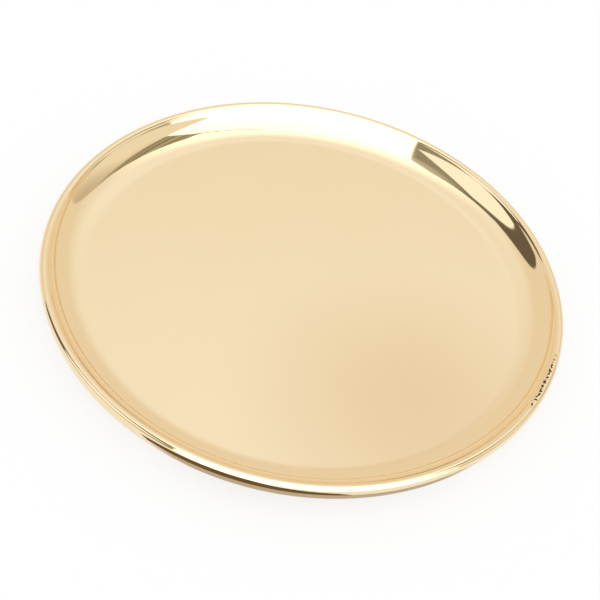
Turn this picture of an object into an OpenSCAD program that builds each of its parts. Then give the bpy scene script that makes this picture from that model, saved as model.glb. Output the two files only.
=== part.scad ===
// Round candle plate: cast brass, turned and polished, with a low thick rim, on four felt pads.
// Millimetres. The origin is on the table, at the plate's centre, and +Z is up.

/* [Plate] */
// Outside diameter, over the lip
plate_d = 150; // [100:5:300]
// Thickness of the flat
floor_t = 2; // [1:0.25:4]
// Height of the lip's top above the plate's underside
rim_h = 8.5; // [6:0.5:20]
// Thickness of the rim at its lip, which is a full round
lip_t = 2.8; // [2:0.1:5]
// How steep the inside of the rim is where it meets the lip, in degrees
rim_slope = 61; // [50:1:75]
// How far the polished lip swells past the faces of the rim
lip_swell = 0.05; // [0.04:0.01:0.2]

/* [Pads] */
// Diameter of a felt pad
pad_d = 12; // [8:1:16]
// Thickness of a felt pad
pad_t = 1.5; // [1:0.25:4]
// Number of felt pads
pad_count = 4; // [3:1:6]
// Distance from the edge of the underside's flat in to the nearest edge of a pad
pad_inset = 4; // [1:0.5:8]

/* [Hidden] */
lip_r = lip_t / 2;
lip_z = rim_h - lip_r;
lip_centre_r = plate_d / 2 - lip_r;
face_r = lip_r - lip_swell;
// The outside is one quarter round, from the underside's flat up to the lip's middle
corner_r = lip_z;
corner_centre_r = lip_centre_r + face_r - corner_r;
// The inside is one sweep, from the flat up to the lip
sweep_r = (lip_z - floor_t + face_r * cos(rim_slope)) / (1 - cos(rim_slope));
sweep_z = floor_t + sweep_r;
flat_r = lip_centre_r - (sweep_r + face_r) * sin(rim_slope);
// Where the sweep runs into the lip
sweep_end_z = lip_z + face_r * cos(rim_slope);
// The pads lie in a ring just inside the edge of the underside's flat, the first one turned off the axes
pad_ring_r = corner_centre_r - pad_inset - pad_d / 2;
pad_step = 360 / pad_count;
pad_start = pad_step / 2;
// Smoothness of the large rounds, of the rim's section, and of the pads
round_fn = 240;
section_fn = 96;
pad_fn = 64;

PADS = [for (i = [1:pad_count]) str("felt_pad_", i)];

// The outside of the section: the flat underside and the quarter round, up to the lip
module outside_shape() {
    square([corner_centre_r, sweep_end_z]);
    intersection() {
        translate([corner_centre_r, corner_r])
            circle(r = corner_r, $fn = section_fn);
        translate([corner_centre_r, 0])
            square([corner_r, lip_z]);
    }
    translate([corner_centre_r, lip_z])
        square([lip_centre_r - corner_centre_r, sweep_end_z - lip_z]);
}

// The hollow of the dish: the space over the flat and inside the sweep
module hollow_shape() {
    translate([0, floor_t])
        square([flat_r, sweep_r]);
    intersection() {
        translate([flat_r, sweep_z])
            circle(r = sweep_r, $fn = section_fn);
        translate([flat_r, floor_t])
            square([sweep_r, sweep_r]);
    }
}

// Half of the plate's section, with the radius along X and the underside on the X axis
module plate_section() {
    difference() {
        outside_shape();
        hollow_shape();
    }
    translate([lip_centre_r, lip_z])
        circle(r = lip_r, $fn = section_fn);
}

module plate() {
    color("goldenrod")
        translate([0, 0, pad_t])
            rotate_extrude($fn = round_fn)
                plate_section();
}

module felt_pad(place) {
    color("saddlebrown")
        rotate(pad_start + place * pad_step)
            translate([pad_ring_r, 0, 0])
                cylinder(d = pad_d, h = pad_t, $fn = pad_fn);
}

plate();
for (place = [0:pad_count - 1])
    felt_pad(place);
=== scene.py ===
from math import cos, pi, radians, sin

import bmesh
import bpy
from mathutils import Matrix, Vector


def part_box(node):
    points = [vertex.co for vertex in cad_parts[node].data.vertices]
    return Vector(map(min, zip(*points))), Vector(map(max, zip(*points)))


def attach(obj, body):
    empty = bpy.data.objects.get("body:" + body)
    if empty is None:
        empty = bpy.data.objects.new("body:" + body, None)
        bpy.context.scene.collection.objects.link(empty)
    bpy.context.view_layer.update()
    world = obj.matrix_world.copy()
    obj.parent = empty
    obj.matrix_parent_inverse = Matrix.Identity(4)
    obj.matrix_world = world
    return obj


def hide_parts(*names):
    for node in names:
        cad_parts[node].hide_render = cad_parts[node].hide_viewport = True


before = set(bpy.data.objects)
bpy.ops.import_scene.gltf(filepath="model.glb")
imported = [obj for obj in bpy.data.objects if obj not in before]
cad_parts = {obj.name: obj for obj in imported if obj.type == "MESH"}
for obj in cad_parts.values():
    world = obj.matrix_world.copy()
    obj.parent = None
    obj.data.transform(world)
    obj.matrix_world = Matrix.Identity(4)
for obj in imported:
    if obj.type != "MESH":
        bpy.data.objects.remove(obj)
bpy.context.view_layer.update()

MM = 0.001

# The plate's sizes, in metres: the outer ones are read from the frame, the others are the casting's own
plate_low, plate_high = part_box("plate")
PLATE_R = plate_high[0]
UNDERSIDE_Z = plate_low[2]
RIM_TOP_Z = plate_high[2]
FLOOR_T = 2 * MM
LIP_R = 1.4 * MM
RIM_SLOPE = radians(61)
PADS = sorted(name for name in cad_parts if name.startswith("felt_pad_"))

# Smoothness of the mirror surface: steps round the plate and along each bend of its section.
# A narrow ring beside each bend keeps the shading of the flats flat.
ROUND_STEPS = 480
CORNER_STEPS = 30
LIP_STEPS = 20
SWEEP_STEPS = 40
FLAT_HOLD = 1 * MM
MERGE_DISTANCE = 0.001 * MM

# The camera stands in front of the plate, a little rolled, with a short telephoto lens
CAMERA_DISTANCE = 450 * MM
CAMERA_ELEVATION = 46.28
CAMERA_ROLL = 13.17
CAMERA_AIM = Vector((-0.2 * MM, -2.5 * MM, UNDERSIDE_Z))
LENS_MM = 94.21
SENSOR_MM = 36


def linear(hex_colour, level=1.0):
    """An sRGB hex colour as a linear RGBA tuple, brightened by a level."""
    values = []
    for i in (1, 3, 5):
        c = int(hex_colour[i:i + 2], 16) / 255
        values.append(level * (c / 12.92 if c <= 0.04045 else ((c + 0.055) / 1.055) ** 2.4))
    return (*values, 1.0)


def add(tree, kind, inputs=None, **settings):
    """Adds a shader node. Each input is a value, or a socket to link from."""
    node = tree.nodes.new("ShaderNode" + kind)
    for name, value in settings.items():
        setattr(node, name, value)
    for key, value in (inputs or {}).items():
        if isinstance(value, bpy.types.NodeSocket):
            tree.links.new(value, node.inputs[key])
        else:
            node.inputs[key].default_value = value
    return node


def direction(azimuth, elevation):
    """Unit vector to a place round the plate. Azimuth 0 is the camera's side, and 90 is to its right."""
    a, e = radians(azimuth), radians(elevation)
    return Vector((sin(a) * cos(e), -cos(a) * cos(e), sin(e)))


def make_camera():
    data = bpy.data.cameras.new("camera")
    camera = bpy.data.objects.new("camera", data)
    bpy.context.scene.collection.objects.link(camera)
    back = direction(0, CAMERA_ELEVATION)
    camera.location = CAMERA_AIM + back * CAMERA_DISTANCE
    level = (-back).to_track_quat("-Z", "Y").to_matrix()
    camera.rotation_mode = "QUATERNION"
    camera.rotation_quaternion = (level @ Matrix.Rotation(radians(CAMERA_ROLL), 3, "Z")).to_quaternion()
    data.sensor_width = SENSOR_MM
    data.lens = LENS_MM
    bpy.context.scene.camera = camera


# The studio that the polished brass mirrors. Each edge in it is a round of directions: the azimuth and
# elevation of its middle, its radius and its softness, in degrees. A form is what lies in every round of
# its list.

# A white tent, bright over the camera and duller low down at the back and sides
TENT_WHITE = "#FFFFFF"
WINDOW_ROUND = (23, 42, 55, 38)
WINDOW_LEVEL = 2.05
LOW_TONE = "#F1E8DA"
LOW_SIDES = [(-90, -82, 131, 26), (180, 10, 115, 30)]

# A buff wall to the right, browner at its far end and with a pointed near end, over a grey skirting
WALL_BUFF = "#F7F2E7"
WALL_BROWN = "#CFC4B0"
WALL_SIDES = [(71.9, 11.1, 53.0, 1.2), (94.8, -18.0, 58.8, 1.2), (120.8, 53.1, 52.1, 1.2)]
WALL_NEAR_SIDE = (163, 0, 90, 1.0)
WALL_TIP = (71, 26.4, 10.6, 1.2)
WALL_SHADE = (150, 20, 33, 22)
SKIRTING = "#BFBBAC"
SKIRTING_SIDES = [(71.9, 11.1, 53.0, 1.2), (163, 0, 90, 2.0), (0, 90, 90, 0.6), (0, -90, 128, 2.0)]

# Over the wall the tent's cloth hangs in folds, which end in a seam
FOLD_DARK = "#85806A"
FOLD_LIGHT = "#C8C9BA"
FOLD_SIDES = [(158.7, 6.5, 73.1, 1.2), (55.9, 6.2, 67.2, 1.2), (0, -90, 151.5, 1.5)]
FOLD_STREAKS = direction(99.5, -35.1) * 30
FOLD_CONTRAST = (0.42, 0.58)
SEAM_SIDES = [(-169.4, -31.2, 121.3, 0.8), (10.6, 31.2, 60.1, 0.8), (94, 68, 9, 3)]

# A dim room to the left, brown with an olive and a pale part, and a pale board that hangs in it
ROOM_BROWN = "#6B6354"
ROOM_OLIVE = "#9A978A"
ROOM_PALE = "#CDC9BE"
ROOM_SIDES = [(-107.3, 1.6, 74.9, 1.2), (32.6, -57.7, 151.1, 1.2), (0, -90, 160, 2.5), (0, 90, 82, 1.5)]
ROOM_RIGHT_PART = (-8, 0, 90, 1.0)
ROOM_LEFT_PART = (-78.9, 25.5, 28.0, 1.2)
ROOM_OLIVE_PART = (-45, 38, 30, 22)
ROOM_PALE_PART = (-65, 74, 10, 20)
BOARD_WHITE = "#FFFFFF"
BOARD_LEVEL = 1.14
BOARD_SIDES = [(-71.4, 43.7, 29.8, 0.8), (-54.1, 28.5, 32.2, 0.8), (-85.3, -11.8, 64.7, 0.8)]

# What the brass mirrors twice, between its rim and its flat, is one plain tone
TWICE_MIRRORED = "#F8F6F5"


def make_world():
    world = bpy.data.worlds.new("studio")
    bpy.context.scene.world = world
    world.use_nodes = True
    tree = world.node_tree
    tree.nodes.clear()
    way = add(tree, "TexCoord").outputs["Generated"]

    def inside(azimuth, elevation, radius, softness):
        dot = add(tree, "VectorMath", {0: way, 1: direction(azimuth, elevation)}, operation="DOT_PRODUCT")
        limits = {
            "Value": dot.outputs["Value"],
            "From Min": cos(radians(min(radius + softness / 2, 180))),
            "From Max": cos(radians(max(radius - softness / 2, 0))),
        }
        return add(tree, "MapRange", limits, interpolation_type="SMOOTHSTEP").outputs[0]

    def region(edges, mask=1.0):
        for edge in edges:
            mask = add(tree, "Math", {0: mask, 1: inside(*edge)}, operation="MULTIPLY").outputs[0]
        return mask

    # The folds run along the wall's top
    across = add(tree, "VectorMath", {0: way, 1: FOLD_STREAKS}, operation="DOT_PRODUCT").outputs["Value"]
    streak = add(tree, "TexNoise", {"W": across, "Scale": 1.0, "Detail": 2.0}, noise_dimensions="1D")
    limits = {"Value": streak.outputs[0], "From Min": FOLD_CONTRAST[0], "From Max": FOLD_CONTRAST[1]}
    streak = add(tree, "MapRange", limits).outputs[0]

    ends = add(tree, "Math", {0: inside(*WALL_NEAR_SIDE), 1: inside(*WALL_TIP)}, operation="MAXIMUM")
    wall = region(WALL_SIDES, ends.outputs[0])
    ends = add(tree, "Math", {0: inside(*ROOM_LEFT_PART), 1: inside(*ROOM_RIGHT_PART)}, operation="MAXIMUM")
    room = region(ROOM_SIDES, ends.outputs[0])
    layers = [
        (region(LOW_SIDES), linear(LOW_TONE)),
        (region([WINDOW_ROUND]), linear(TENT_WHITE, WINDOW_LEVEL)),
        (region(SKIRTING_SIDES), linear(SKIRTING)),
        (region(FOLD_SIDES), linear(FOLD_DARK)),
        (region(FOLD_SIDES, streak), linear(FOLD_LIGHT)),
        (region(SEAM_SIDES), linear(FOLD_DARK)),
        (wall, linear(WALL_BUFF)),
        (region([WALL_SHADE], wall), linear(WALL_BROWN)),
        (room, linear(ROOM_BROWN)),
        (region([ROOM_OLIVE_PART], room), linear(ROOM_OLIVE)),
        (region([ROOM_PALE_PART], room), linear(ROOM_PALE)),
        (region(BOARD_SIDES), linear(BOARD_WHITE, BOARD_LEVEL)),
    ]
    studio = linear(TENT_WHITE)
    for mask, colour in layers:
        studio = add(tree, "Mix", {0: mask, 6: studio, 7: colour}, data_type="RGBA").outputs[2]

    # Only what mirrors shows the studio: the camera and the dull surfaces get plain white
    path = add(tree, "LightPath").outputs
    once = add(tree, "Math", {0: path["Glossy Depth"], 1: 1.5}, operation="LESS_THAN").outputs[0]
    layers = [(once, linear(TWICE_MIRRORED)), (path["Is Glossy Ray"], linear(TENT_WHITE))]
    for mask, colour in layers:
        studio = add(tree, "Mix", {0: mask, 6: colour, 7: studio}, data_type="RGBA").outputs[2]
    background = add(tree, "Background", {"Color": studio, "Strength": 1.0})
    add(tree, "OutputWorld", {"Surface": background.outputs[0]})


# White paper. The share named last takes the plate's shadow, and the rest of its white is its own.
FLOOR_SIZE = 6.0
FLOOR_WHITE = "#FFFFFF"
FLOOR_SHADED = 0.22


def make_floor():
    mesh = bpy.data.meshes.new("floor")
    floor = bpy.data.objects.new("floor", mesh)
    bpy.context.scene.collection.objects.link(floor)
    bm = bmesh.new()
    bmesh.ops.create_grid(bm, x_segments=1, y_segments=1, size=FLOOR_SIZE / 2)
    bm.to_mesh(mesh)
    bm.free()
    material = bpy.data.materials.new("white_paper_floor")
    material.use_nodes = True
    tree = material.node_tree
    tree.nodes.clear()
    path = add(tree, "LightPath").outputs
    seen = add(tree, "Math", {0: path["Is Camera Ray"], 1: path["Is Glossy Ray"]}, operation="MAXIMUM")
    seen = add(tree, "Math", {0: seen.outputs[0], 1: path["Is Transmission Ray"]}, operation="MAXIMUM")
    paper = add(tree, "BsdfDiffuse", {"Color": [FLOOR_SHADED] * 3 + [1.0]})
    strength = add(tree, "Math", {0: seen.outputs[0], 1: 1 - FLOOR_SHADED}, operation="MULTIPLY")
    white = add(tree, "Emission", {"Color": linear(FLOOR_WHITE), "Strength": strength.outputs[0]})
    both = add(tree, "AddShader", {0: paper.outputs[0], 1: white.outputs[0]})

    # From below, the floor is clear, so that the plate's underside shows
    below = add(tree, "NewGeometry").outputs["Backfacing"]
    clear = add(tree, "BsdfTransparent")
    surface = add(tree, "MixShader", {0: below, 1: both.outputs[0], 2: clear.outputs[0]})
    add(tree, "OutputMaterial", {"Surface": surface.outputs[0]})
    mesh.materials.append(material)


# Two cards lie on the floor in front of the plate, a brown round one partly over a dark one.
# The brown one is painted shadow: the plate's shadow on the floor, as the rim mirrors it.
# A thin gel hangs over the plate's near right side: painted shade that dims what the brass mirrors there.
# Only the mirror of the brass shows the three.
NEAR_CARD_R = PLATE_R + 2.9 * MM
NEAR_CARD_SIDE = direction(12, 0)
NEAR_CARD_BACK = 58 * MM
NEAR_CARD_FADE = 9 * MM
NEAR_CARD_Z = 0.6 * MM
# Painted shadow: the brown of the plate's shadow on the floor, as the rim mirrors it
NEAR_CARD_SHADOW_BROWN = "#C2B9AE"
DARK_CARD_CORNERS = [(36, -60), (24, -78), (1, -112), (-13, -330), (-28, -330), (-37, -71)]
DARK_CARD_Z = 0.3 * MM
DARK_CARD_BROWN = "#6E5A42"
GEL_CENTRE = Vector((50 * MM, 66 * MM, 120 * MM))
GEL_R = 84 * MM
GEL_CLEAR_R = 80 * MM
GEL_FULL_R = 5 * MM
# Painted shade: the tint by which the gel darkens what the brass mirrors
GEL_SHADE_TINT = "#F4EDE7"


def make_card(name, bm, centre, surface):
    """A flat stage card that only mirrors show. `surface` fills a material's tree and returns its shader."""
    mesh = bpy.data.meshes.new(name)
    card = bpy.data.objects.new(name, mesh)
    bpy.context.scene.collection.objects.link(card)
    bmesh.ops.translate(bm, verts=bm.verts, vec=centre)
    bm.to_mesh(mesh)
    bm.free()
    material = bpy.data.materials.new(name)
    material.use_nodes = True
    tree = material.node_tree
    tree.nodes.clear()
    add(tree, "OutputMaterial", {"Surface": surface(tree).outputs[0]})
    mesh.materials.append(material)
    for kind in ("camera", "diffuse", "shadow", "transmission"):
        setattr(card, "visible_" + kind, False)


def painted_shadow_card(tree):
    """Painted shadow: brown, fading to the floor's white towards its two ends."""
    place = add(tree, "TexCoord").outputs["Object"]
    out = add(tree, "VectorMath", {0: place, 1: NEAR_CARD_SIDE}, operation="DOT_PRODUCT").outputs["Value"]
    limits = {"Value": out, "From Min": NEAR_CARD_BACK, "From Max": NEAR_CARD_BACK + NEAR_CARD_FADE}
    share = add(tree, "MapRange", limits, interpolation_type="SMOOTHSTEP").outputs[0]
    tone = add(tree, "Mix", {0: share, 6: linear(FLOOR_WHITE), 7: linear(NEAR_CARD_SHADOW_BROWN)}, data_type="RGBA")
    return add(tree, "Emission", {"Color": tone.outputs[2]})


# A dark patch in front of the plate that only the brass mirrors: the near rim shows it as a dark band
def dark_card(tree):
    return add(tree, "Emission", {"Color": linear(DARK_CARD_BROWN)})


def shade_gel(tree):
    """Painted shade: dims what the brass mirrors through it, tinted at its middle and clear at its edge."""
    place = add(tree, "TexCoord").outputs["Object"]
    away = add(tree, "VectorMath", {0: place, 1: GEL_CENTRE}, operation="DISTANCE").outputs["Value"]
    limits = {"Value": away, "From Min": GEL_FULL_R, "From Max": GEL_CLEAR_R, "To Min": 1.0, "To Max": 0.0}
    share = add(tree, "MapRange", limits, interpolation_type="SMOOTHSTEP").outputs[0]
    tint = add(tree, "Mix", {0: share, 6: linear(TENT_WHITE), 7: linear(GEL_SHADE_TINT)}, data_type="RGBA")
    return add(tree, "BsdfTransparent", {"Color": tint.outputs[2]})


def make_cards():
    # The round card is painted shadow of the plate on the floor, seen only in the brass's mirror
    round_card = bmesh.new()
    bmesh.ops.create_circle(round_card, cap_ends=True, segments=180, radius=NEAR_CARD_R)
    bmesh.ops.bisect_plane(
        round_card, geom=round_card.verts[:] + round_card.edges[:] + round_card.faces[:],
        plane_co=NEAR_CARD_SIDE * NEAR_CARD_BACK, plane_no=-NEAR_CARD_SIDE, clear_outer=True,
    )
    make_card("near_shadow_card", round_card, (0, 0, NEAR_CARD_Z), painted_shadow_card)
    wedge = bmesh.new()
    wedge.faces.new([wedge.verts.new((x * MM, y * MM, 0)) for x, y in DARK_CARD_CORNERS])
    make_card("dark_card", wedge, (0, 0, DARK_CARD_Z), dark_card)
    # The gel is painted shade over the brass's mirror
    disc = bmesh.new()
    bmesh.ops.create_circle(disc, cap_ends=True, segments=90, radius=GEL_R)
    make_card("shade_gel", disc, GEL_CENTRE, shade_gel)


def new_piece(name, bm, materials):
    """A finished piece from a bmesh, smooth, riding on the part's one body."""
    mesh = bpy.data.meshes.new(name)
    bm.to_mesh(mesh)
    bm.free()
    for polygon in mesh.polygons:
        polygon.use_smooth = True
    for material in materials:
        mesh.materials.append(material)
    piece = bpy.data.objects.new(name, mesh)
    bpy.context.scene.collection.objects.link(piece)
    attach(piece, "root")
    return piece


def turn_on(bm, vert, centre, angle, steps):
    """Carries the section's line on from its last point, round a centre in the XZ plane."""
    sense = (0, -1, 0) if angle > 0 else (0, 1, 0)
    made = bmesh.ops.spin(
        bm, geom=[vert], cent=centre, axis=sense, dvec=(0, 0, 0), angle=abs(angle),
        steps=steps, use_merge=False, use_normal_flip=False, use_duplicate=False,
    )
    return next(v for v in made["geom_last"] if isinstance(v, bmesh.types.BMVert))


def line_on(bm, vert, r, z):
    """Carries the section's line straight on to a radius and a height."""
    end = bm.verts.new((r, 0, z))
    bm.edges.new((vert, end))
    return end


def make_plate(material):
    """The casting: a flat underside, a quarter round, a full round lip and the sweep down to the flat."""
    lip_centre = Vector((PLATE_R - LIP_R, 0, RIM_TOP_Z - LIP_R))
    corner_r = lip_centre.z - UNDERSIDE_Z
    corner_centre = Vector((PLATE_R - corner_r, 0, lip_centre.z))
    top_z = UNDERSIDE_Z + FLOOR_T
    sweep_r = (lip_centre.z - top_z + LIP_R * cos(RIM_SLOPE)) / (1 - cos(RIM_SLOPE))
    sweep_centre = Vector((lip_centre.x - (sweep_r + LIP_R) * sin(RIM_SLOPE), 0, top_z + sweep_r))
    bm = bmesh.new()
    last = bm.verts.new((0, 0, UNDERSIDE_Z))
    last = line_on(bm, last, corner_centre.x - FLAT_HOLD, UNDERSIDE_Z)
    last = line_on(bm, last, corner_centre.x, UNDERSIDE_Z)
    last = turn_on(bm, last, corner_centre, pi / 2, CORNER_STEPS)
    last = turn_on(bm, last, lip_centre, pi / 2 + RIM_SLOPE, LIP_STEPS)
    last = turn_on(bm, last, sweep_centre, -RIM_SLOPE, SWEEP_STEPS)
    last = line_on(bm, last, sweep_centre.x - FLAT_HOLD, top_z)
    line_on(bm, last, 0, top_z)
    bmesh.ops.spin(
        bm, geom=bm.verts[:] + bm.edges[:], cent=(0, 0, 0), axis=(0, 0, 1), dvec=(0, 0, 0),
        angle=2 * pi, steps=ROUND_STEPS, use_merge=True, use_normal_flip=False, use_duplicate=False,
    )
    bmesh.ops.remove_doubles(bm, verts=bm.verts, dist=MERGE_DISTANCE)
    bmesh.ops.recalc_face_normals(bm, faces=bm.faces)
    plate = new_piece("cast_plate", bm, [material])
    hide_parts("plate")


# Cast brass, turned, polished to a mirror and lacquered: pale gold, with a faint cloudy haze in the polish
# and fine wiping marks. On one side of the lip the lacquer has failed and left a patch of dark brown pits.
BRASS = "#F7E2BC"
BRASS_DEEP = "#F5E0B8"
CLOUD_SIZE = 25 * MM
POLISH = (0.035, 0.075)
WIPE_LENGTH = 9 * MM
WIPE_WIDTH = 0.7 * MM
WIPE_TURN = radians(35)
WIPE_LIMITS = (0.55, 0.75)
WIPE_DULLING = 0.03
PIT_BROWN = "#4A3016"
PIT_ROUGHNESS = 0.6
PIT_METAL = 0.4
PIT_SIZE = 0.7 * MM
# The patch of pits: its radius on the plate, half width, depth down the rim, middle and half length
PIT_R = PLATE_R - 1.8 * MM
PIT_BAND = 0.9 * MM
PIT_DEPTH = 3 * MM
PIT_AT = direction(74.5, 0)
PIT_REACH = radians(10)
# How much likelier a pit is at the patch's middle, and above which value of the grit one opens
PIT_GAIN = 0.3
PIT_LIMITS = (0.70, 0.74)
PATCH_EDGE = (0.05, 0.15)


def make_pits(tree, place):
    """The mask of the pits: thick at the middle of their patch, few at its ends, and none past it."""
    flat_place = add(tree, "VectorMath", {0: place, 1: (1, 1, 0)}, operation="MULTIPLY").outputs[0]
    radius = add(tree, "VectorMath", {0: flat_place}, operation="LENGTH").outputs["Value"]
    height = add(tree, "SeparateXYZ", {0: place}).outputs["Z"]
    along = add(tree, "VectorMath", {0: place, 1: PIT_AT}, operation="DOT_PRODUCT").outputs["Value"]
    share = 1.0
    for value, none, full in (
        (radius, PIT_R - PIT_BAND, PIT_R),
        (radius, PIT_R + PIT_BAND, PIT_R),
        (along, PIT_R * cos(PIT_REACH), PIT_R),
        (height, RIM_TOP_Z - PIT_DEPTH, RIM_TOP_Z - PIT_DEPTH / 2),
    ):
        limits = {"Value": value, "From Min": none, "From Max": full}
        part = add(tree, "MapRange", limits, interpolation_type="SMOOTHSTEP").outputs[0]
        share = add(tree, "Math", {0: share, 1: part}, operation="MULTIPLY").outputs[0]
    grit = add(tree, "TexNoise", {"Vector": place, "Scale": 1 / PIT_SIZE, "Detail": 1.0}).outputs[0]
    grit = add(tree, "Math", {0: share, 1: PIT_GAIN, 2: grit}, operation="MULTIPLY_ADD").outputs[0]
    pits = {"Value": grit, "From Min": PIT_LIMITS[0], "From Max": PIT_LIMITS[1]}
    patch = {"Value": share, "From Min": PATCH_EDGE[0], "From Max": PATCH_EDGE[1]}
    masks = [add(tree, "MapRange", limits).outputs[0] for limits in (pits, patch)]
    return add(tree, "Math", {0: masks[0], 1: masks[1]}, operation="MULTIPLY").outputs[0]


def polished_brass():
    material = bpy.data.materials.new("polished_lacquered_brass")
    material.use_nodes = True
    tree = material.node_tree
    tree.nodes.clear()
    place = add(tree, "TexCoord").outputs["Object"]

    # Haze in large soft clouds, and fine marks that run one way
    cloud = {"Vector": place, "Scale": 1 / CLOUD_SIZE, "Detail": 3.0, "Roughness": 0.5}
    cloud = add(tree, "TexNoise", cloud).outputs[0]
    polish = add(tree, "MapRange", {"Value": cloud, "To Min": POLISH[0], "To Max": POLISH[1]}).outputs[0]
    grain = (1 / WIPE_LENGTH, 1 / WIPE_WIDTH, 1 / WIPE_WIDTH)
    wiped = add(tree, "Mapping", {"Vector": place, "Rotation": (0, 0, WIPE_TURN), "Scale": grain}).outputs[0]
    wiped = add(tree, "TexNoise", {"Vector": wiped, "Scale": 1.0, "Detail": 4.0}).outputs[0]
    wiped = {"Value": wiped, "From Min": WIPE_LIMITS[0], "From Max": WIPE_LIMITS[1], "To Max": WIPE_DULLING}
    wiped = add(tree, "MapRange", wiped).outputs[0]
    polish = add(tree, "Math", {0: polish, 1: wiped}, operation="ADD").outputs[0]

    pits = make_pits(tree, place)
    tone = linear(BRASS)
    for mask, colour in ((cloud, BRASS_DEEP), (pits, PIT_BROWN)):
        tone = add(tree, "Mix", {0: mask, 6: tone, 7: linear(colour)}, data_type="RGBA").outputs[2]
    polish = add(tree, "MapRange", {"Value": pits, "To Min": polish, "To Max": PIT_ROUGHNESS}).outputs[0]
    metal = add(tree, "MapRange", {"Value": pits, "To Min": 1.0, "To Max": PIT_METAL}).outputs[0]
    brass = add(tree, "BsdfPrincipled", {"Base Color": tone, "Roughness": polish, "Metallic": metal})
    add(tree, "OutputMaterial", {"Surface": brass.outputs[0]})
    return material


# Wool felt, pressed and die-cut: dark brown and matt, with a tangle of short fibres on its face.
# A fibre is about 0.03 mm thick; it is drawn as clumps of 0.25 mm, the finest that show.
FELT_BROWN = "#4A3B30"
FELT_DARK = "#33281F"
FELT_ROUGHNESS = 0.95
FIBRE_CLUMP = 0.25 * MM
FIBRE_DEPTH = 0.1 * MM
FIBRE_RELIEF = 0.6
FELT_EDGE_R = 0.3 * MM


def pressed_felt():
    material = bpy.data.materials.new("pressed_wool_felt")
    material.use_nodes = True
    tree = material.node_tree
    tree.nodes.clear()
    place = add(tree, "TexCoord").outputs["Object"]
    fibre = add(tree, "TexNoise", {"Vector": place, "Scale": 1 / FIBRE_CLUMP, "Detail": 4.0}).outputs[0]
    tones = {0: fibre, 6: linear(FELT_DARK), 7: linear(FELT_BROWN)}
    tone = add(tree, "Mix", tones, data_type="RGBA").outputs[2]
    relief = {"Height": fibre, "Strength": FIBRE_RELIEF, "Distance": FIBRE_DEPTH}
    relief = add(tree, "Bump", relief).outputs[0]
    wool = {"Base Color": tone, "Normal": relief, "Roughness": FELT_ROUGHNESS}
    add(tree, "OutputMaterial", {"Surface": add(tree, "BsdfPrincipled", wool).outputs[0]})
    return material


def make_pad(node, material):
    low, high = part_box(node)
    radius = (high[0] - low[0]) / 2
    height = high[2] - low[2]
    centre = Vector(((low[0] + high[0]) / 2, (low[1] + high[1]) / 2, low[2] + height / 2))
    bm = bmesh.new()
    bmesh.ops.create_cone(
        bm, cap_ends=True, segments=48, radius1=radius, radius2=radius, depth=height,
        matrix=Matrix.Translation(centre),
    )
    ends = [face for face in bm.faces if len(face.verts) > 4]
    rims = [edge for face in ends for edge in face.edges]
    bmesh.ops.bevel(
        bm, geom=rims, offset=FELT_EDGE_R, offset_type="OFFSET", segments=3, profile=0.5,
        affect="EDGES", material=-1,
    )
    pad = new_piece("felt_" + node[-1], bm, [material])
    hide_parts(node)


make_camera()
make_world()
make_floor()
make_cards()
make_plate(polished_brass())
felt = pressed_felt()
for node in PADS:
    make_pad(node, felt)

bpy.context.scene.view_settings.view_transform = "Standard"
